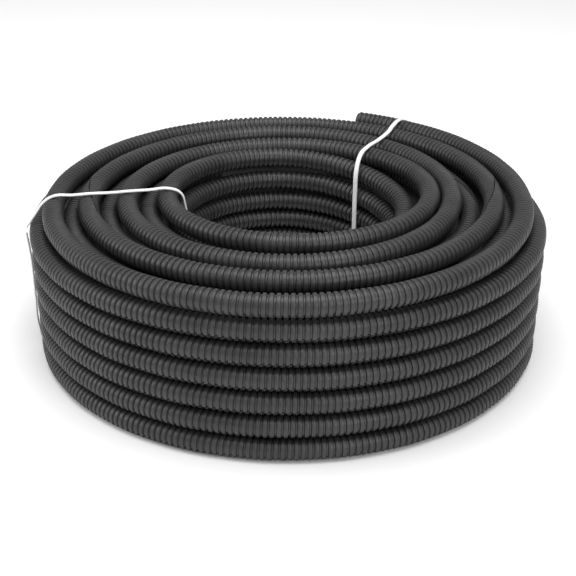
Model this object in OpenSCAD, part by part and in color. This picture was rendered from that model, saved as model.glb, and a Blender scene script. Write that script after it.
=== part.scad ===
// A coil of corrugated plastic conduit, held by two flat twist ties.
// Millimetres. The coil lies flat: its axis is Z, its lowest turns touch z = 0,
// and the conduit's open outer end points along -X at the back (+Y).

/* [Conduit] */
// Outside diameter over the ribs
conduit_d = 10; // [8:0.5:12]
// Outside diameter at the root between two ribs
root_d = 8.4; // [7.6:0.1:9]
// Bore that takes the wires
bore_d = 7; // [5:0.1:7.2]
// Distance from one rib to the next
rib_pitch = 2.8; // [2:0.1:3.4]
// Width of a rib at its crest
rib_w = 1.5; // [1:0.1:1.6]
// Rise of a rib's sloping flank along the conduit
flank_w = 0.3; // [0.1:0.05:0.4]

/* [Coil] */
// Radius of the clear eye in the middle of the coil
eye_r = 50; // [40:1:80]
// Nested columns of turns outside the innermost one (an odd number)
nested_columns = 7; // [5:2:9]
// Turns in the height of the outermost column
rows = 7; // [4:1:9]
// Air between two turns of one column
row_gap = 1.3; // [0.6:0.1:2]
// Air between a turn and the turns that it nests in
nest_gap = 0.6; // [0.3:0.1:1]
// Depth of the plain core below the crowns of the outer turns
core_depth = 7; // [6:0.5:8]
// How deep the turns of the second layer bed into the core
bedding = 1; // [0.6:0.1:2]
// Width of the prop that carries a turn of the top layer
prop_w = 5; // [3:0.5:6]

/* [Free end] */
// Ribs on the straight end of the conduit
end_ribs = 8; // [4:1:12]
// Depth of the open bore behind the mouth
mouth_depth = 16; // [8:1:20]

/* [Ties] */
// Width of the flat tie
tie_w = 2.5; // [2:0.1:4]
// Thickness of the tie at its two lobes
tie_t = 1.1; // [0.8:0.1:1.4]
// Thickness of the web between the lobes
web_t = 0.6; // [0.4:0.1:0.7]
// Clearance between a tie and the turns under it
tie_gap = 0.2; // [0.1:0.05:0.3]
// Height of the tie's underside above the floor, in its groove under the coil
tie_lift = 0.2; // [0.1:0.05:0.4]
// Direction of the left tie, seen from above
left_az = 210; // [195:1:240]
// Direction of the right tie
right_az = 77; // [60:1:80]
// Length of the twisted knot
knot_l = 9; // [6:0.5:12]
// Turns in the knot
knot_turns = 1.5; // [1:0.25:2]
// Length of the longer tail
tail_l = 17; // [10:1:22]

/* [Hidden] */
$fn = 96;
conduit_r = conduit_d / 2;
row_step = conduit_d + row_gap;
// A nested turn lies half a row higher than its neighbours and bears on both.
column_step = sqrt(pow(conduit_d + nest_gap, 2) - pow(row_step / 2, 2));
inner_turn_r = eye_r + conduit_r;
first_nested_r = inner_turn_r + conduit_d + nest_gap;
outer_turn_r = first_nested_r + (nested_columns - 1) * column_step;
top_z = conduit_r + (rows - 1) * row_step;
low_z = top_z - row_step / 2;
core_top = low_z - conduit_r + bedding;
wrap_r = conduit_r + tie_gap + tie_t / 2;
// How a sloping stretch is let into a level one: how much thinner all round, and how far
let_in = 0.2;
let_in_angle = 5;
// Centre of a turn in column c, counted from the outside, on row n
function column_r(c) = outer_turn_r - c * column_step;
function column_z(c, n) = conduit_r + (n + (c % 2) / 2) * row_step;

// ---- conduit -------------------------------------------------------------

module turn_circle(r, z) translate([r, z]) circle(d = conduit_d);

// Half of the coil's section: the plain core and the turns that stand out of it.
module coil_section() {
    translate([eye_r + core_depth, core_depth])
        square([outer_turn_r + conduit_r - eye_r - 2 * core_depth, core_top - core_depth]);
    for (n = [0 : rows - 2]) {
        turn_circle(outer_turn_r, column_z(0, n));
        turn_circle(inner_turn_r, column_z(0, n));
    }
    for (c = [1 : nested_columns - 1]) turn_circle(column_r(c), column_z(c, 0));
    for (c = [2 : 2 : nested_columns - 1]) turn_circle(column_r(c), column_z(c, rows - 2));
}

// Half a turn about a centre on the Y axis, from y = y0, z = z0 to y = y1, z = z1, with
// the section given. side is 1 for the half on +X and -1 for the half on -X, and lead is how
// many degrees it runs on past its end on +Y, or past the one on -Y where it is negative.
module half_turn(y0, z0, y1, z1, side, lead = 0) {
    r = norm([y1 - y0, z1 - z0]) / 2;
    tilt = (z1 - z0) * sign(y1 - y0);
    starts_early = side * lead < 0;
    translate([0, (y0 + y1) / 2, (z0 + z1) / 2])
        rotate([asin(tilt / (2 * r)), 0, 0])
            rotate([0, 0, -90 * side - (starts_early ? abs(lead) : 0)])
                rotate_extrude(angle = 180 + abs(lead)) translate([r, 0]) children();
}

module turn_section() circle(d = conduit_d);

// A sloping stretch runs on inside the level one that it meets, so it is a little thinner.
module sloping_section() circle(d = conduit_d - 2 * let_in);

// A turn of the top layer and the prop under it, which reaches into the core.
module propped_section() {
    prop_depth = top_z - core_top + bedding;
    turn_section();
    translate([-prop_w / 2, -prop_depth]) square([prop_w, prop_depth]);
}

// The top layer: one spiral that steps in by two columns a turn.
module top_layer() {
    pairs = (nested_columns - 1) / 2;
    for (k = [0 : pairs]) {
        y = column_r(2 * k);
        next_y = k < pairs ? column_r(2 * k + 2) : inner_turn_r;
        half_turn(y, top_z, -y, top_z, 1) propped_section();
        half_turn(-y, top_z, next_y, top_z, -1) propped_section();
    }
}

// The second layer: a spiral in the grooves of the first, whose two ends dive into the core.
module second_layer() {
    pairs = (nested_columns - 1) / 2;
    for (k = [0 : pairs - 1]) {
        y = column_r(2 * k + 1);
        half_turn(y, low_z, -y, low_z, 1) turn_section();
        if (k < pairs - 1) half_turn(-y, low_z, column_r(2 * k + 3), low_z, -1) turn_section();
    }
    deep_z = core_top - conduit_r - bedding;
    half_turn(-column_r(0.5), deep_z, column_r(1), low_z, -1, let_in_angle) sloping_section();
    last_y = column_r(nested_columns - 2);
    half_turn(-last_y, low_z, last_y - column_step, deep_z, -1, -let_in_angle) sloping_section();
}

// The last turn of the spiral goes down from the top layer into the wall of the eye, and
// ends in the core beside the wall's top row.
module inner_turn() {
    end_y = -inner_turn_r - core_depth / 2;
    half_turn(inner_turn_r, top_z, end_y, column_z(0, rows - 2), 1, let_in_angle) sloping_section();
}

// Outline of the corrugated wall, turned about the conduit's own axis.
module rib_wall() {
    crest = conduit_r;
    root = root_d / 2;
    foot_w = rib_w + 2 * flank_w;
    gap_w = rib_pitch - foot_w;
    polygon(concat(
        [[0, -conduit_r], [root, -conduit_r]],
        [for (i = [0 : end_ribs - 1]) each [
            [root, i * rib_pitch],
            [root, i * rib_pitch + gap_w],
            [crest, i * rib_pitch + gap_w + flank_w],
            [crest, i * rib_pitch + gap_w + flank_w + rib_w]]],
        [[root, end_ribs * rib_pitch], [0, end_ribs * rib_pitch]]));
}

module free_end() {
    translate([0, outer_turn_r, top_z]) rotate([0, -90, 0]) rotate_extrude() rib_wall();
}

module mouth() {
    len = end_ribs * rib_pitch;
    translate([-len - 1, outer_turn_r, top_z]) rotate([0, 90, 0]) cylinder(d = bore_d, h = mouth_depth + 1);
}

module conduit() {
    color([0.13, 0.13, 0.13]) difference() {
        union() {
            rotate_extrude() coil_section();
            top_layer();
            second_layer();
            inner_turn();
            free_end();
        }
        mouth();
        tie_grooves();
    }
}

// ---- ties ----------------------------------------------------------------

// Flat section of a tie: two lobes and a web, x through it and y across it.
module tie_section() {
    lobe_y = (tie_w - tie_t) / 2;
    for (s = [-1, 1]) translate([0, s * lobe_y]) circle(d = tie_t, $fn = 32);
    square([web_t, 2 * lobe_y], center = true);
}

// Section of the groove that the coil's soft turns form over a tie under them.
module groove_section() {
    depth = tie_lift + tie_t + conduit_r;
    translate([-tie_t / 2 - tie_gap * 3 / 4, -tie_w / 2 - tie_gap])
        square([depth, tie_w + 2 * tie_gap]);
}

// A bend of radius r about a centre, and a straight run of a given length from a point.
module bend(centre, r, from_angle, to_angle) {
    translate([centre.x, centre.y, 0]) rotate([0, 0, from_angle])
        rotate_extrude(angle = to_angle - from_angle) translate([r, 0]) children();
}

module run(start, length, heading) {
    translate([start.x, start.y, 0]) rotate([0, 0, heading])
        rotate([90, 0, 90]) linear_extrude(length) mirror([1, 0]) children();
}

// Where the half turn on -X from y0 to y1 crosses the plane in direction az.
function crossing_r(y0, y1, az) =
    let (r = abs(y1 - y0) / 2, yc = (y0 + y1) / 2)
    yc * sin(az) + sqrt(r * r - pow(yc * cos(az), 2));

// The tie's middle line, as radius and height: its upright runs and its flat ones.
outer_line = outer_turn_r + wrap_r;
inner_line = inner_turn_r - wrap_r;
top_line = top_z + wrap_r;
foot_line = tie_lift + tie_t / 2;
// Radius of the outermost and innermost turns of the top layer under each tie
last_r = column_r(nested_columns - 1);
left_tops = [
    crossing_r(-outer_turn_r, column_r(2), left_az),
    crossing_r(-last_r, inner_turn_r, left_az)];
right_tops = [outer_turn_r, inner_turn_r];

function outer_bend_r(tops) = outer_line - tops[0];
function inner_bend_r(tops) = tops[1] - inner_line;

module foot_part() {
    bend([outer_turn_r, foot_line + wrap_r], wrap_r, -90, 0) children();
    run([inner_turn_r, foot_line], outer_turn_r - inner_turn_r, 0) children();
    bend([inner_turn_r, foot_line + wrap_r], wrap_r, 180, 270) children();
}

module loop(tops) {
    ro = outer_bend_r(tops);
    ri = inner_bend_r(tops);
    foot_part() tie_section();
    run([outer_line, foot_line + wrap_r], top_line - ro - foot_line - wrap_r, 90) tie_section();
    bend([tops[0], top_line - ro], ro, 0, 90) tie_section();
    run([tops[0], top_line], tops[0] - tops[1], 180) tie_section();
    bend([tops[1], top_line - ri], ri, 90, 180) tie_section();
    run([inner_line, top_line - ri], top_line - ri - foot_line - wrap_r, 270) tie_section();
}

// Stands what is drawn in the plane of radius and height up in direction az.
module in_plane(az) rotate([0, 0, az]) rotate([90, 0, 0]) children();

// Two flat ends twisted round each other: an eight-sided section that turns as it rises.
module twisted_pair() {
    half_x = tie_t;
    half_y = tie_w / 2;
    bevel = tie_t / 4;
    outline = [
        [half_x, bevel - half_y], [half_x, half_y - bevel],
        [half_x - bevel, half_y], [bevel - half_x, half_y],
        [-half_x, half_y - bevel], [-half_x, bevel - half_y],
        [bevel - half_x, -half_y], [half_x - bevel, -half_y]];
    sides = len(outline);
    steps = ceil(16 * knot_turns);
    points = [for (i = [0 : steps]) let (a = 360 * knot_turns * i / steps) for (p = outline)
        [p.x * cos(a) - p.y * sin(a), p.x * sin(a) + p.y * cos(a), knot_l * i / steps]];
    walls = [for (i = [0 : steps - 1]) for (j = [0 : sides - 1])
        let (k = (j + 1) % sides, low = i * sides, high = low + sides)
        each [[low + j, high + j, low + k], [low + k, high + j, high + k]]];
    foot = [for (j = [0 : sides - 1]) j];
    head = [for (j = [sides - 1 : -1 : 0]) steps * sides + j];
    polyhedron(points, concat(walls, [foot, head]));
}

// The two ends of the tie twisted together on the outer bend, and the two tails:
// one laid back over the coil and one hanging down its side.
module knot(tops, angle) {
    ro = outer_bend_r(tops);
    centre = [tops[0], top_line - ro];
    place_r = ro - tie_t / 2 + norm([tie_t, tie_w / 2]);
    tail_y = (knot_l - tie_w) / 2;
    translate([centre.x + place_r * cos(angle), centre.y + place_r * sin(angle), -knot_l / 2])
        twisted_pair();
    translate([0, 0, tail_y]) {
        bend(centre, ro, 90, angle) tie_section();
        run([tops[0], top_line], tail_l, 180) tie_section();
    }
    translate([0, 0, -tail_y]) {
        bend(centre, ro, 0, angle) tie_section();
        run([outer_line, centre.y], tail_l / 2, 270) tie_section();
    }
}

module tie(tops, az, knot_angle) {
    color([0.93, 0.93, 0.9]) in_plane(az) {
        loop(tops);
        knot(tops, knot_angle);
    }
}

module tie_left() tie(left_tops, left_az, 25);
module tie_right() tie(right_tops, right_az, 50);

module tie_grooves() for (az = [left_az, right_az]) in_plane(az) foot_part() groove_section();

conduit();
tie_left();
tie_right();
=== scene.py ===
# %% [markdown]
# # A coil of corrugated conduit
# Corrugated conduit is a thin plastic hose with a rib every few millimetres, so that it bends easily
# and still keeps its shape. This kind has a slit along its whole length, through which wires are
# pressed in. It is sold as a coil of about thirty metres, held by two white twist ties.
# The construction model gives the coil's plain form. Here that form gets its ribs, its slit and its
# finishes, so everything starts from the frame and from a few sizes of the hose. The outer wall has
# six rows, and the top layer lies one row above them.

# %% Load the frame
import math

import bpy
from mathutils import Matrix, Vector


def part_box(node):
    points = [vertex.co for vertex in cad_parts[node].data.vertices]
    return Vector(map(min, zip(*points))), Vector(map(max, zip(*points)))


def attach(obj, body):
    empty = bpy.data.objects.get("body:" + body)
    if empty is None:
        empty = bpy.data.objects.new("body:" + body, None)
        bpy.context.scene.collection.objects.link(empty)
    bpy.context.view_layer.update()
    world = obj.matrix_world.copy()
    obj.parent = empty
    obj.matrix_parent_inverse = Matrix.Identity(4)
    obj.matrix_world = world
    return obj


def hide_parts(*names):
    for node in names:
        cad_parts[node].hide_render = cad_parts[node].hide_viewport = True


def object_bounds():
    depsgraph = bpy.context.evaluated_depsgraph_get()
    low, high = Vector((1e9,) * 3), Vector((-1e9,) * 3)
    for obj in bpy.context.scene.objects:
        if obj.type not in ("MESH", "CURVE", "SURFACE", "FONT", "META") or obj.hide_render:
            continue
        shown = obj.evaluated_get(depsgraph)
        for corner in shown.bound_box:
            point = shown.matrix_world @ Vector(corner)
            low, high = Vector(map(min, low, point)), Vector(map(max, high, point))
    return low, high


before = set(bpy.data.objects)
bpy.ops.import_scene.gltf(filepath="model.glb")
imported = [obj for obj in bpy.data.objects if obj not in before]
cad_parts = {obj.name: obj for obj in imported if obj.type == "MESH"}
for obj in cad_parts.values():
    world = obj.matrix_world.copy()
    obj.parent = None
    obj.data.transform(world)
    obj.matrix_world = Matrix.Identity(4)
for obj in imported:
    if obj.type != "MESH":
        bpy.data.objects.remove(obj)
cad_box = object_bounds()
print("construction box", [[round(value, 4) for value in corner] for corner in cad_box])

# %% Sizes of the hose, in metres
coil_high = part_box("conduit")[1]
rows = 6
hose_d = 0.010
hose_r = hose_d / 2
root_r = 0.0042
rib_pitch = 0.0028
outer_turn_r = coil_high[0] - hose_r
top_z = coil_high[2] - hose_r
row_step = (top_z - hose_r) / rows
print("outer turn", round(outer_turn_r, 4), "top turn", round(top_z, 4), "row", round(row_step, 5))

# %% [markdown]
# ## The camera
# The coil is seen from a little above, close enough for a strong perspective: the ribs at the front
# look half as long again as those at the back. So the distance is set first, and the lens follows.

# %% Camera
camera_data = bpy.data.cameras.new("camera")
camera = bpy.data.objects.new("camera", camera_data)
bpy.context.collection.objects.link(camera)
camera_turn = math.radians(20)
camera_rise = math.radians(28.3)
camera_distance = 0.556
lens_mm = 66.95
picture_shift = 0.0626
camera.location = camera_distance * Vector((
    math.sin(camera_turn) * math.cos(camera_rise),
    -math.cos(camera_turn) * math.cos(camera_rise),
    math.sin(camera_rise)))
camera.rotation_euler = (-camera.location).to_track_quat("-Z", "Y").to_euler()
camera_data.sensor_width = 36
camera_data.lens = lens_mm
camera_data.shift_y = picture_shift
bpy.context.scene.camera = camera
print("camera at", [round(value, 3) for value in camera.location])

# %% [markdown]
# ## One rib
# Everything that shows of the coil is one shape, repeated some five thousand times. So a single rib
# is made with care and few faces: a circle is extruded along the hose, out to the crest and back to
# the root. Two of its lengthwise lines lie close together and turn inwards between them, which
# gives the slit. Each side of the slit is a little ahead of the other, as on a hose that is bent.

# %% Helpers for edit mode
def deselect_all():
    """Leaves nothing selected and no object in edit mode."""
    if bpy.context.object and bpy.context.object.mode != "OBJECT":
        bpy.ops.object.mode_set(mode="OBJECT")
    bpy.ops.object.select_all(action="DESELECT")


def make_active(piece):
    """Selects this object alone."""
    deselect_all()
    piece.select_set(True)
    bpy.context.view_layer.objects.active = piece


deselect_all()
print("selected:", len(bpy.context.selected_objects))

# %% [markdown]
# The rib's section along the hose starts with the groove, climbs to a rounded crest and falls back to
# the next groove. It is written as stations, each a distance along the hose and a radius.

# %% The rib
rib_sides = 14
slit_half_angle = math.radians(4)
slit_depth = 0.0007
slit_lean = 0.0006


def ring_angles():
    """Directions of a ring's corners, from one lip of the slit round to the other."""
    span = 2 * math.pi - 2 * slit_half_angle
    return [slit_half_angle + span * index / (rib_sides - 1) for index in range(rib_sides)]


def shape_ring(mesh, first, radius, place, lean):
    """Sets one ring of corners: the round wall from lip to lip, then the slit's two inner corners."""
    angles = ring_angles()
    corners = [(angle, radius) for angle in angles]
    corners += [(angles[-1], root_r - slit_depth), (angles[0], root_r - slit_depth)]
    for index, (angle, reach) in enumerate(corners):
        ahead = lean * (angle / (2 * math.pi) - 0.5)
        mesh.vertices[first + index].co = (place + ahead, reach * math.sin(angle), reach * math.cos(angle))


def make_rib(name, stations, lean=slit_lean):
    """One rib: a circle extruded from station to station, each an (along, radius) pair."""
    deselect_all()
    corners = rib_sides + 2
    bpy.ops.mesh.primitive_circle_add(vertices=corners, radius=root_r, rotation=(0, math.pi / 2, 0))
    rib = bpy.context.object
    rib.name = name
    bpy.ops.object.transform_apply(location=True, rotation=True, scale=True)
    bpy.ops.object.mode_set(mode="EDIT")
    for (start, _), (end, _) in zip(stations, stations[1:]):
        bpy.ops.mesh.extrude_region_move(TRANSFORM_OT_translate={"value": (end - start, 0, 0)})
    bpy.ops.object.mode_set(mode="OBJECT")
    for index, (along, radius) in enumerate(stations):
        shape_ring(rib.data, index * corners, radius, along, lean)
    rib.data.update()
    bpy.ops.object.mode_set(mode="EDIT")
    bpy.ops.mesh.select_all(action="SELECT")
    bpy.ops.mesh.normals_make_consistent(inside=False)
    bpy.ops.object.mode_set(mode="OBJECT")
    return rib


groove_end = 0.00065
near_shoulder = 0.00095
crest_middle = 0.00172
far_shoulder = 0.0025
shoulder_r = hose_r - 0.00015
fine_stations = [
    (0.0, root_r), (groove_end, root_r), (near_shoulder, shoulder_r),
    (crest_middle, hose_r), (far_shoulder, shoulder_r), (rib_pitch, root_r)]
rib = make_rib("rib", fine_stations)
print("one rib has", len(rib.data.polygons), "faces")

# %% [markdown]
# ## How a hose follows its path
# A hose is made by repeating the rib in a straight row and then bending the row along a curve. The
# Array modifier welds each rib to the next, and the Curve modifier bends them all at once. The
# curve's tilt turns the hose about its own line, which decides where the slit shows.

# %% Paths
curve_steps = 6


def lay_path(points, tilts, closed=False):
    """A smooth curve through points, with the hose turned by the given tilts."""
    data = bpy.data.curves.new("path", "CURVE")
    data.dimensions = "3D"
    data.twist_mode = "Z_UP"
    data.resolution_u = curve_steps
    spline = data.splines.new("BEZIER")
    spline.bezier_points.add(len(points) - 1)
    for knot, point, tilt in zip(spline.bezier_points, points, tilts):
        knot.co = point
        knot.tilt = tilt
        knot.handle_left_type = "AUTO"
        knot.handle_right_type = "AUTO"
    spline.use_cyclic_u = closed
    path = bpy.data.objects.new("path", data)
    bpy.context.collection.objects.link(path)
    bpy.context.view_layer.update()
    return path


def apply_modifiers(piece):
    """Turns the modifiers of a piece into real faces, in their order."""
    make_active(piece)
    for modifier in list(piece.modifiers):
        bpy.ops.object.modifier_apply(modifier=modifier.name)


weld_gap = 0.00002
closing_gap = 0.00003


def make_hose(name, unit, path, closed=False, wall=None):
    """A hose: the unit rib repeated and bent along a path. With a wall it is hollow."""
    length = path.data.splines[0].calc_length()
    count = max(1, round(length / rib_pitch))
    piece = bpy.data.objects.new(name, unit.data.copy())
    bpy.context.collection.objects.link(piece)
    piece.data.transform(Matrix.Scale(length / (count * rib_pitch), 4, (1, 0, 0)))
    row = piece.modifiers.new("row", "ARRAY")
    row.count = count
    row.relative_offset_displace = (0, 0, 0)
    row.use_relative_offset = False
    row.use_constant_offset = True
    row.constant_offset_displace = (length / count, 0, 0)
    row.use_merge_vertices = True
    row.merge_threshold = weld_gap
    bend = piece.modifiers.new("bend", "CURVE")
    bend.object = path
    bend.deform_axis = "POS_X"
    if wall:
        shell = piece.modifiers.new("wall", "SOLIDIFY")
        shell.thickness = wall
        shell.offset = -1
    apply_modifiers(piece)
    if closed:
        bpy.ops.object.mode_set(mode="EDIT")
        bpy.ops.mesh.select_all(action="SELECT")
        bpy.ops.mesh.remove_doubles(threshold=closing_gap)
        bpy.ops.object.mode_set(mode="OBJECT")
    bpy.data.objects.remove(path)
    print(name, count, "ribs,", round(length, 3), "m,", len(piece.data.polygons), "faces")
    return piece


print("paths bend in", curve_steps, "steps between two knots")

# %% [markdown]
# ## Where the turns lie
# The turns are wound by hand, so they aren't true circles. Each layer is written as its distance
# from the middle and its height at every quarter turn, both in hose diameters, starting at the back
# and going round clockwise. A soft curve through these values gives the places in between.

# %% Reading places between the quarter turns
back_az = math.radians(110)


def soft_value(values, place):
    """A value between those of a list, on a Catmull-Rom curve."""
    index = min(max(int(math.floor(place)), 0), len(values) - 2)
    part = place - index
    before = values[max(index - 1, 0)]
    start = values[index]
    end = values[index + 1]
    after = values[min(index + 2, len(values) - 1)]
    slope_in = (end - before) / 2
    slope_out = (after - start) / 2
    square = part * part
    cube = square * part
    return ((2 * cube - 3 * square + 1) * start + (cube - 2 * square + part) * slope_in
            + (3 * square - 2 * cube) * end + (cube - square) * slope_out)


def soft_step(part):
    """0 before 0, 1 after 1, and smooth between."""
    part = min(max(part, 0), 1)
    return part * part * (3 - 2 * part)


def place_of(quarter, radius, height):
    """Point at a number of quarter turns from the back, in metres."""
    azimuth = back_az - quarter * math.pi / 2
    return Vector((radius * math.cos(azimuth), radius * math.sin(azimuth), height))


steps_a_quarter = 6


def quarters(first, last):
    """Evenly spaced places from first to last, in quarter turns."""
    count = max(2, round((last - first) * steps_a_quarter))
    return [first + (last - first) * index / count for index in range(count + 1)]


print("one turn has", len(quarters(0, 4)) - 1, "knots")

# %% [markdown]
# ## The top layer and the wall of the eye
# The top layer is one spiral from the free end inwards. It goes down at the eye and becomes the wall
# of the eye, where each turn falls most of the way to the next one within its first quarter.

# %% Radii and heights of the top layer and the wall of the eye
top_radii = [
    12.0, 11.2, 12.0, 11.1,
    10.5, 9.9, 9.95, 9.5,
    8.8, 7.9, 8.35, 7.65,
    6.75, 6.9, 6.2, 5.8,
    5.6, 5.75, 5.2, 5.45]
top_heights = [7.4, 7.28, 7.28, 7.28] + [7.28] * 12 + [7.05, 6.3, 6.2, 6.0]
eye_turn = 5.5
floor_turn = 0.5
eye_heights = [5.87, 4.69, 3.65, 2.6, 1.55]
falls_by_quarter = [0, 0.6, 0.75, 0.85]
for height, lower in zip(eye_heights, eye_heights[1:] + [floor_turn]):
    fall = height - lower
    top_radii += [eye_turn] * 4
    top_heights += [height - share * fall for share in falls_by_quarter]
top_radii += [eye_turn] * 5
top_heights += [floor_turn] * 5
print("the spiral runs through", len(top_radii) - 1, "quarter turns")

# %% [markdown]
# A hose turns a little about its own line as it is wound, so its slit comes into view here and
# there: at the front on the second turn of the top layer and on the second row of the outer wall,
# and at the back right on the second turn below the top. Everywhere else it is hidden.

# %% Where the slit shows
def showing_slit(hidden, turn, middle, reach, fade):
    """The hose's tilt along its path, in degrees: hidden, but turned into view about the middle."""
    def tilt(place):
        nearness = 1 - soft_step((abs(place - middle) - reach) / fade)
        return hidden + turn * nearness
    return tilt


def hidden_slit(place):
    """The slit faces down and inwards, where it doesn't show."""
    return -150


top_slit = showing_slit(-150, 200, middle=6.0, reach=0.7, fade=0.8)
column_slit = showing_slit(-120, 180, middle=6.0, reach=0.9, fade=0.6)
low_slit = showing_slit(-120, 130, middle=4.5, reach=0.3, fade=0.6)
print("slit of the top layer at the front", top_slit(6.0), "and behind", top_slit(4.0))

# %% Winding the top layer and the wall of the eye
def winding(radii, heights, first, last, slit):
    """The path of a hose whose radii and heights are given at every quarter turn."""
    points = []
    tilts = []
    for place in quarters(first, last):
        radius = soft_value(radii, place) * hose_d
        height = soft_value(heights, place) * hose_d
        points.append(place_of(place, radius, height))
        tilts.append(math.radians(slit(place)))
    return lay_path(points, tilts)


end_ribs = 8
end_wall = 0.00055
mouth = 20 / 90
end_start = mouth + end_ribs * rib_pitch / (outer_turn_r * math.pi / 2)
into_eye = 17.5
last_quarter = len(top_radii) - 1.1
end_path = winding(top_radii, top_heights, mouth, end_start, top_slit)
free_end = make_hose("free_end", rib, end_path, wall=end_wall)
top_path = winding(top_radii, top_heights, end_start, into_eye, top_slit)
top_layer = make_hose("top_layer", rib, top_path)
eye_path = winding(top_radii, top_heights, into_eye, last_quarter, hidden_slit)
eye_wall = make_hose("eye_wall", rib, eye_path)

# %% [markdown]
# ## The outer wall
# The outside of the coil is a column of turns that lie level one above the other. At the back each
# one climbs to the next row over a short stretch, as neat winding does. The last turn leaves the
# wall there and goes inwards, into the grooves under the top layer.

# %% The outer column and the layer below the top one
climb = 0.37
start_inwards = 1.02 * hose_d
low_radii = [
    11.25, 10.5, 10.95, 10.3,
    9.63, 8.85, 9.15, 8.58,
    7.75, 7.4, 7.27, 6.7, 6.2]
low_heights = [
    6.6, 6.5, 6.65, 6.55,
    6.6, 6.55, 6.6, 6.6,
    6.65, 6.4, 6.6, 6.6, 6.4]


def column_place(place):
    """Radius and height on the outer column, in metres, at a number of quarter turns."""
    row = math.floor(place / 4)
    rise = soft_step((place - 4 * row - (4 - climb)) / climb)
    height = hose_r + row_step * (row + rise)
    radius = outer_turn_r
    if place < climb:
        radius -= start_inwards * (1 - soft_step(place / climb))
        height = hose_r
    leaving = place - (4 * rows - climb)
    if leaving > 0:
        last_row = hose_r + row_step * (rows - 1)
        height = last_row + (low_heights[0] * hose_d - last_row) * rise
        radius += (low_radii[0] * hose_d - radius) * soft_step(leaving / climb)
    return radius, height


def column_path(first, last):
    """Path of a stretch of the outer column."""
    points = []
    tilts = []
    for place in quarters(first, last):
        radius, height = column_place(place)
        points.append(place_of(place, radius, height))
        tilts.append(math.radians(column_slit(place)))
    return lay_path(points, tilts)


half_way = 2 * rows
low_end = 11.6
lower_rows = make_hose("lower_rows", rib, column_path(-climb, half_way))
upper_rows = make_hose("upper_rows", rib, column_path(half_way, 4 * rows))
low_layer = make_hose("low_layer", rib, winding(low_radii, low_heights, 0, low_end, low_slit))

# %% [markdown]
# ## The underside and the core
# From below the coil shows turns again, in two levels as on top. They are closed rings of a rib with
# a flat crest, which has fewer faces. What is deeper than the first two layers can't be seen, so one
# plain turned core of the same plastic fills it.

# %% The bottom turns
plain_groove_end = 0.0006
plain_crest_start = 0.0009
plain_stations = [
    (0.0, root_r), (plain_groove_end, root_r), (plain_crest_start, hose_r),
    (far_shoulder, hose_r), (rib_pitch, root_r)]
plain_rib = make_rib("plain_rib", plain_stations)
bottom_columns = 6
innermost_r = 0.0656
column_step = (outer_turn_r - innermost_r) / bottom_columns
hidden_tilt = math.radians(-60)


def bottom_turn(column):
    """One closed turn under the coil."""
    radius = outer_turn_r - column * column_step
    height = hose_r + (column % 2) * row_step / 2
    places = quarters(0, 4)[:-1]
    points = [place_of(place, radius, height) for place in places]
    path = lay_path(points, [hidden_tilt] * len(points), closed=True)
    return make_hose("bottom_turn_%d" % column, plain_rib, path, closed=True)


bottom_turns = [bottom_turn(column) for column in range(1, bottom_columns + 1)]

# %% [markdown]
# The six rings are one piece on the real coil, so they are joined into one mesh.

# %% Joining turns into one piece
def join_pieces(name, pieces):
    """Joins pieces into one mesh."""
    deselect_all()
    for piece in pieces:
        piece.select_set(True)
    bpy.context.view_layer.objects.active = pieces[0]
    bpy.ops.object.join()
    joined = bpy.context.object
    joined.name = name
    return joined


bottom_layer = join_pieces("bottom_layer", bottom_turns)
print("bottom_layer has", len(bottom_layer.data.polygons), "faces")

# %% [markdown]
# The core is a square section, spun once about the coil's axis. It stays inside the turns all round.

# %% The core
core_steps = 96
seam_gap = 0.00001
core_in = 0.0575
core_out = outer_turn_r - 0.0025
core_low = 0.008
core_high = 0.0615


def make_core():
    """A ring of square section, spun about the coil's axis."""
    deselect_all()
    bpy.ops.mesh.primitive_plane_add(size=1, rotation=(math.pi / 2, 0, 0))
    core = bpy.context.object
    core.name = "core"
    core.scale = (core_out - core_in, core_high - core_low, 1)
    core.location = ((core_out + core_in) / 2, 0, (core_high + core_low) / 2)
    bpy.ops.object.transform_apply(location=True, rotation=True, scale=True)
    bpy.ops.object.mode_set(mode="EDIT")
    bpy.ops.mesh.select_all(action="SELECT")
    bpy.ops.mesh.spin(steps=core_steps, angle=2 * math.pi, center=(0, 0, 0), axis=(0, 0, 1))
    bpy.ops.mesh.select_all(action="SELECT")
    bpy.ops.mesh.remove_doubles(threshold=seam_gap)
    bpy.ops.mesh.delete_loose()
    bpy.ops.mesh.select_all(action="SELECT")
    bpy.ops.mesh.normals_make_consistent(inside=False)
    bpy.ops.object.mode_set(mode="OBJECT")
    return core


core = make_core()
print("core has", len(core.data.polygons), "faces")

# %% [markdown]
# ## The finish of the conduit
# The hose is black polypropylene. It is satin: broad soft highlights, with a faint grain, small
# differences of gloss, and slightly paler patches. The patterns are noise on Object coordinates, so
# they stay in place when the piece is moved or exported.

# %% Helpers for materials
def new_material(name):
    """A material with its nodes emptied, but for the shader and the output."""
    material = bpy.data.materials.new(name)
    material.use_nodes = True
    nodes = material.node_tree.nodes
    nodes.clear()
    output = nodes.new("ShaderNodeOutputMaterial")
    shader = nodes.new("ShaderNodeBsdfPrincipled")
    material.node_tree.links.new(shader.outputs["BSDF"], output.inputs["Surface"])
    return material, shader


middle_of_noise = (0.3, 0.7)


def noise(material, scale, detail=3.0, roughness=0.5):
    """A noise pattern on the piece's own coordinates."""
    nodes = material.node_tree.nodes
    place = nodes.new("ShaderNodeTexCoord")
    pattern = nodes.new("ShaderNodeTexNoise")
    pattern.inputs["Scale"].default_value = scale
    pattern.inputs["Detail"].default_value = detail
    pattern.inputs["Roughness"].default_value = roughness
    material.node_tree.links.new(place.outputs["Object"], pattern.inputs["Vector"])
    return pattern.outputs["Fac"]


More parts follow.
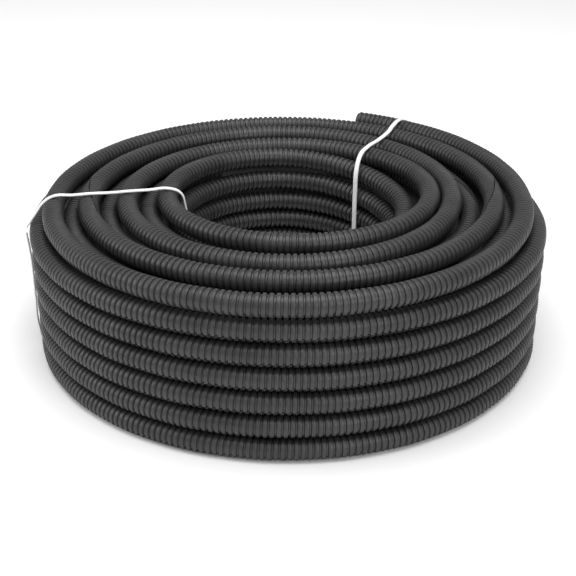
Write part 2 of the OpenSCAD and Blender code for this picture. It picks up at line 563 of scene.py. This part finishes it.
def ramp(material, source, low, high, low_colour, high_colour):
    """Maps a value between low and high onto two colours."""
    node = material.node_tree.nodes.new("ShaderNodeValToRGB")
    node.color_ramp.elements[0].position = low
    node.color_ramp.elements[1].position = high
    node.color_ramp.elements[0].color = (*low_colour, 1)
    node.color_ramp.elements[1].color = (*high_colour, 1)
    material.node_tree.links.new(source, node.inputs["Fac"])
    return node.outputs["Color"]


def spread(material, source, low, high):
    """Maps the middle values of a noise pattern onto low to high."""
    node = material.node_tree.nodes.new("ShaderNodeMapRange")
    node.inputs["From Min"].default_value = middle_of_noise[0]
    node.inputs["From Max"].default_value = middle_of_noise[1]
    node.inputs["To Min"].default_value = low
    node.inputs["To Max"].default_value = high
    material.node_tree.links.new(source, node.inputs["Value"])
    return node.outputs["Result"]


def bump(material, source, distance, strength, under=None):
    """A bump from a height pattern."""
    node = material.node_tree.nodes.new("ShaderNodeBump")
    node.inputs["Distance"].default_value = distance
    node.inputs["Strength"].default_value = strength
    material.node_tree.links.new(source, node.inputs["Height"])
    if under:
        material.node_tree.links.new(under, node.inputs["Normal"])
    return node.outputs["Normal"]


print("patterns are cut to", middle_of_noise)

# %% Black plastic
black = (0.022, 0.022, 0.023)
rubbed_black = (0.036, 0.036, 0.037)


def conduit_plastic():
    """Satin black polypropylene."""
    material, shader = new_material("conduit_plastic")
    link = material.node_tree.links.new
    shade = ramp(material, noise(material, scale=60), 0.3, 0.75, black, rubbed_black)
    link(shade, shader.inputs["Base Color"])
    gloss = spread(material, noise(material, scale=220, detail=5), low=0.36, high=0.50)
    link(gloss, shader.inputs["Roughness"])
    grain = bump(material, noise(material, scale=2600, detail=2), distance=0.00003, strength=0.5)
    bumps = noise(material, scale=260, detail=3)
    waves = bump(material, bumps, distance=0.00012, strength=0.5, under=grain)
    link(waves, shader.inputs["Normal"])
    shader.inputs["Specular IOR Level"].default_value = 0.5
    return material


black_plastic = conduit_plastic()


def finish_piece(piece, material, angle=40):
    """Gives a piece its material and its smooth shading."""
    piece.data.materials.clear()
    piece.data.materials.append(material)
    make_active(piece)
    bpy.ops.object.shade_smooth_by_angle(angle=math.radians(angle))


hoses = [free_end, top_layer, eye_wall, lower_rows, upper_rows, low_layer, bottom_layer]
for piece in hoses + [core]:
    finish_piece(piece, black_plastic)
print(len(hoses) + 1, "pieces have", black_plastic.name)

# %% [markdown]
# ## The twist ties
# Each tie is a flat strip of white plastic, thicker along both edges where its wires run. It goes
# once round the coil: over the top, down through the eye, back underneath and up the outer wall. The
# strip is a two-lobed outline carried along a curve, and it stays untwisted all the way.

# %% The strip's outline
tie_w = 0.0024
tie_t = 0.0010
lobe_start = -135
lobe_step = 45
lobe_corners = 7


def tie_outline():
    """The section of the strip: a round lobe at each edge, and a thin web between them."""
    data = bpy.data.curves.new("tie_outline", "CURVE")
    data.dimensions = "2D"
    spline = data.splines.new("POLY")
    lobe = tie_t / 2
    middle = tie_w / 2 - lobe
    corners = []
    for side in (1, -1):
        for step in range(lobe_corners):
            angle = math.radians(lobe_start + lobe_step * step)
            corners.append((side * (middle + lobe * math.cos(angle)), side * lobe * math.sin(angle)))
    spline.points.add(len(corners) - 1)
    for point, corner in zip(spline.points, corners):
        point.co = (*corner, 0, 1)
    spline.use_cyclic_u = True
    outline = bpy.data.objects.new("tie_outline", data)
    bpy.context.collection.objects.link(outline)
    return outline


outline = tie_outline()


def make_strip(name, points):
    """A strip of tie along points, each given as degrees round the coil, radius and height."""
    data = bpy.data.curves.new(name, "CURVE")
    data.dimensions = "3D"
    data.twist_mode = "MINIMUM"
    data.resolution_u = curve_steps
    data.bevel_mode = "OBJECT"
    data.bevel_object = outline
    data.use_fill_caps = True
    spline = data.splines.new("BEZIER")
    spline.bezier_points.add(len(points) - 1)
    for knot, (turn, radius, height) in zip(spline.bezier_points, points):
        azimuth = math.radians(turn)
        knot.co = (radius * math.cos(azimuth), radius * math.sin(azimuth), height)
        knot.handle_left_type = "AUTO"
        knot.handle_right_type = "AUTO"
    strip = bpy.data.objects.new(name, data)
    bpy.context.collection.objects.link(strip)
    make_active(strip)
    bpy.ops.object.convert(target="MESH")
    return bpy.context.object


def in_diameters(points):
    """Points given in hose diameters, in metres."""
    return [(turn, radius * hose_d, height * hose_d) for turn, radius, height in points]


print("the strip is", tie_w, "wide and", tie_t, "thick")

# %% [markdown]
# The left tie lies straight across the coil. The right one leans as it crosses the top, so it comes
# down into the eye further round than it went up the outer wall.

# %% The two ties
over = 7.86
under = 0.06
in_eye = 4.94
outside = 12.52
left = 210
left_tie = make_strip("twist_tie_left", in_diameters([
    (left, 12.55, 6.4), (left, 12.1, 7.0), (left, 11.6, 7.62), (left, 11.1, over),
    (left, 10.3, 7.84), (left, 9.4, over), (left, 8.5, 7.84), (left, 7.6, over),
    (left, 6.7, over), (left, 5.75, 7.87), (left, 5.2, 7.6), (left, 5.02, 7.0),
    (left, in_eye, 6.0), (left, in_eye, 3.0), (left, in_eye, 0.8),
    (left, 5.1, 0.25), (left, 5.6, under), (left, 8.0, under), (left, 11.5, under),
    (left, 12.3, 0.3), (left, outside, 1.0), (left, outside, 3.0), (left, outside, 5.0),
    (left, 12.6, 6.1)]))
right_tie = make_strip("twist_tie_right", in_diameters([
    (77, 12.4, 7.6), (77, 11.6, over), (76, 10.4, over), (74, 9.3, over), (72, 7.85, over),
    (70, 6.4, over), (68, 5.6, 7.7), (66, 5.1, 7.1),
    (65, in_eye, 6.0), (65, in_eye, 3.0), (66, in_eye, 0.8),
    (67, 5.1, 0.25), (68, 5.6, under), (72, 8.0, under), (76, 11.5, under),
    (77, 12.3, 0.3), (77, outside, 1.0), (77, outside, 3.0), (77, outside, 5.0),
    (77, 12.5, 6.9), (77, 12.45, 7.4)]))
bpy.data.objects.remove(outline)
for tie in (left_tie, right_tie):
    print(tie.name, "has", len(tie.data.polygons), "faces")

# %% [markdown]
# The ties are soft white vinyl. It is a little rough, hardly patterned, and far brighter than the hose.

# %% White plastic
white = (0.88, 0.88, 0.865)
dull_white = (0.80, 0.80, 0.78)


def tie_plastic():
    """Soft white PVC."""
    material, shader = new_material("tie_plastic")
    link = material.node_tree.links.new
    shade = ramp(material, noise(material, scale=300), 0.3, 0.75, dull_white, white)
    link(shade, shader.inputs["Base Color"])
    gloss = spread(material, noise(material, scale=900, detail=3), low=0.32, high=0.45)
    link(gloss, shader.inputs["Roughness"])
    grain = bump(material, noise(material, scale=3000, detail=2), distance=0.00002, strength=0.4)
    link(grain, shader.inputs["Normal"])
    return material


white_plastic = tie_plastic()
for piece in (left_tie, right_tie):
    finish_piece(piece, white_plastic, angle=60)
print("both ties have", white_plastic.name)

# %% [markdown]
# ## What rides on what
# Nothing on a coil moves, so every piece rides on the frame's one body. The ribbed hoses stand for
# the construction model's coil, and each detailed tie for its plain one.

# %% Ride and replace
for piece in hoses + [core]:
    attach(piece, "root")
    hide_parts("conduit")
for piece, node in ((left_tie, "tie_left"), (right_tie, "tie_right")):
    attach(piece, "root")
    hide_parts(node)
for spare in (rib, plain_rib):
    bpy.data.objects.remove(spare)
print(len(hoses) + 3, "pieces ride on the root")

# %% [markdown]
# ## Floor, light and background
# A pale floor and large soft lamps show black plastic best: its form comes from broad reflections.

# %% Floor
floor_size = 6
floor_gap = 0.0001
floor_white = (0.93, 0.93, 0.93)


def make_floor():
    """A large pale floor just under the coil."""
    deselect_all()
    bpy.ops.mesh.primitive_plane_add(size=floor_size, location=(0, 0, cad_box[0][2] - floor_gap))
    floor = bpy.context.object
    floor.name = "floor"
    bpy.ops.object.transform_apply(location=True, rotation=True, scale=True)
    material, shader = new_material("floor_white")
    shader.inputs["Base Color"].default_value = (*floor_white, 1)
    shader.inputs["Roughness"].default_value = 0.9
    shader.inputs["Specular IOR Level"].default_value = 0.1
    floor.data.materials.append(material)
    return floor


floor = make_floor()
print("the floor lies at", round(cad_box[0][2] - floor_gap, 5))

# %% [markdown]
# The large lamp above gives every crest its highlight, and a weaker lamp on each side lights the
# outer wall. All three face the middle of the coil.

# %% Lamps
coil_middle = Vector((0, 0, 0.04))


def add_lamp(name, place, size, power):
    """A soft square lamp that faces the coil."""
    data = bpy.data.lights.new(name, "AREA")
    data.shape = "SQUARE"
    data.size = size
    data.energy = power
    lamp = bpy.data.objects.new(name, data)
    bpy.context.collection.objects.link(lamp)
    lamp.location = place
    lamp.rotation_euler = (coil_middle - Vector(place)).to_track_quat("-Z", "Y").to_euler()
    return lamp


add_lamp("top_lamp", place=(0.1, -0.1, 1.4), size=1.2, power=16)
add_lamp("left_lamp", place=(-1.2, -0.6, 0.8), size=0.8, power=7)
add_lamp("right_lamp", place=(1.1, -0.9, 0.8), size=0.8, power=7)
print("lamps:", len(bpy.data.lights))

# %% [markdown]
# The world looks pure white to the camera, and lights everything else at half that strength, so the
# grooves between the turns stay dark.

# %% World
white_light = (1, 1, 1, 1)
light_strength = 0.5
backdrop_strength = 1.0


def make_world():
    """A white background for the camera, and an even pale light for everything else."""
    world = bpy.data.worlds.new("world")
    bpy.context.scene.world = world
    world.use_nodes = True
    nodes = world.node_tree.nodes
    links = world.node_tree.links
    nodes.clear()
    output = nodes.new("ShaderNodeOutputWorld")
    rays = nodes.new("ShaderNodeLightPath")
    light = nodes.new("ShaderNodeBackground")
    backdrop = nodes.new("ShaderNodeBackground")
    mix = nodes.new("ShaderNodeMixShader")
    light.inputs["Color"].default_value = white_light
    light.inputs["Strength"].default_value = light_strength
    backdrop.inputs["Color"].default_value = white_light
    backdrop.inputs["Strength"].default_value = backdrop_strength
    links.new(rays.outputs["Is Camera Ray"], mix.inputs["Fac"])
    links.new(light.outputs["Background"], mix.inputs[1])
    links.new(backdrop.outputs["Background"], mix.inputs[2])
    links.new(mix.outputs["Shader"], output.inputs["Surface"])


make_world()
bpy.context.scene.view_settings.view_transform = "Standard"
print("light strength", light_strength)
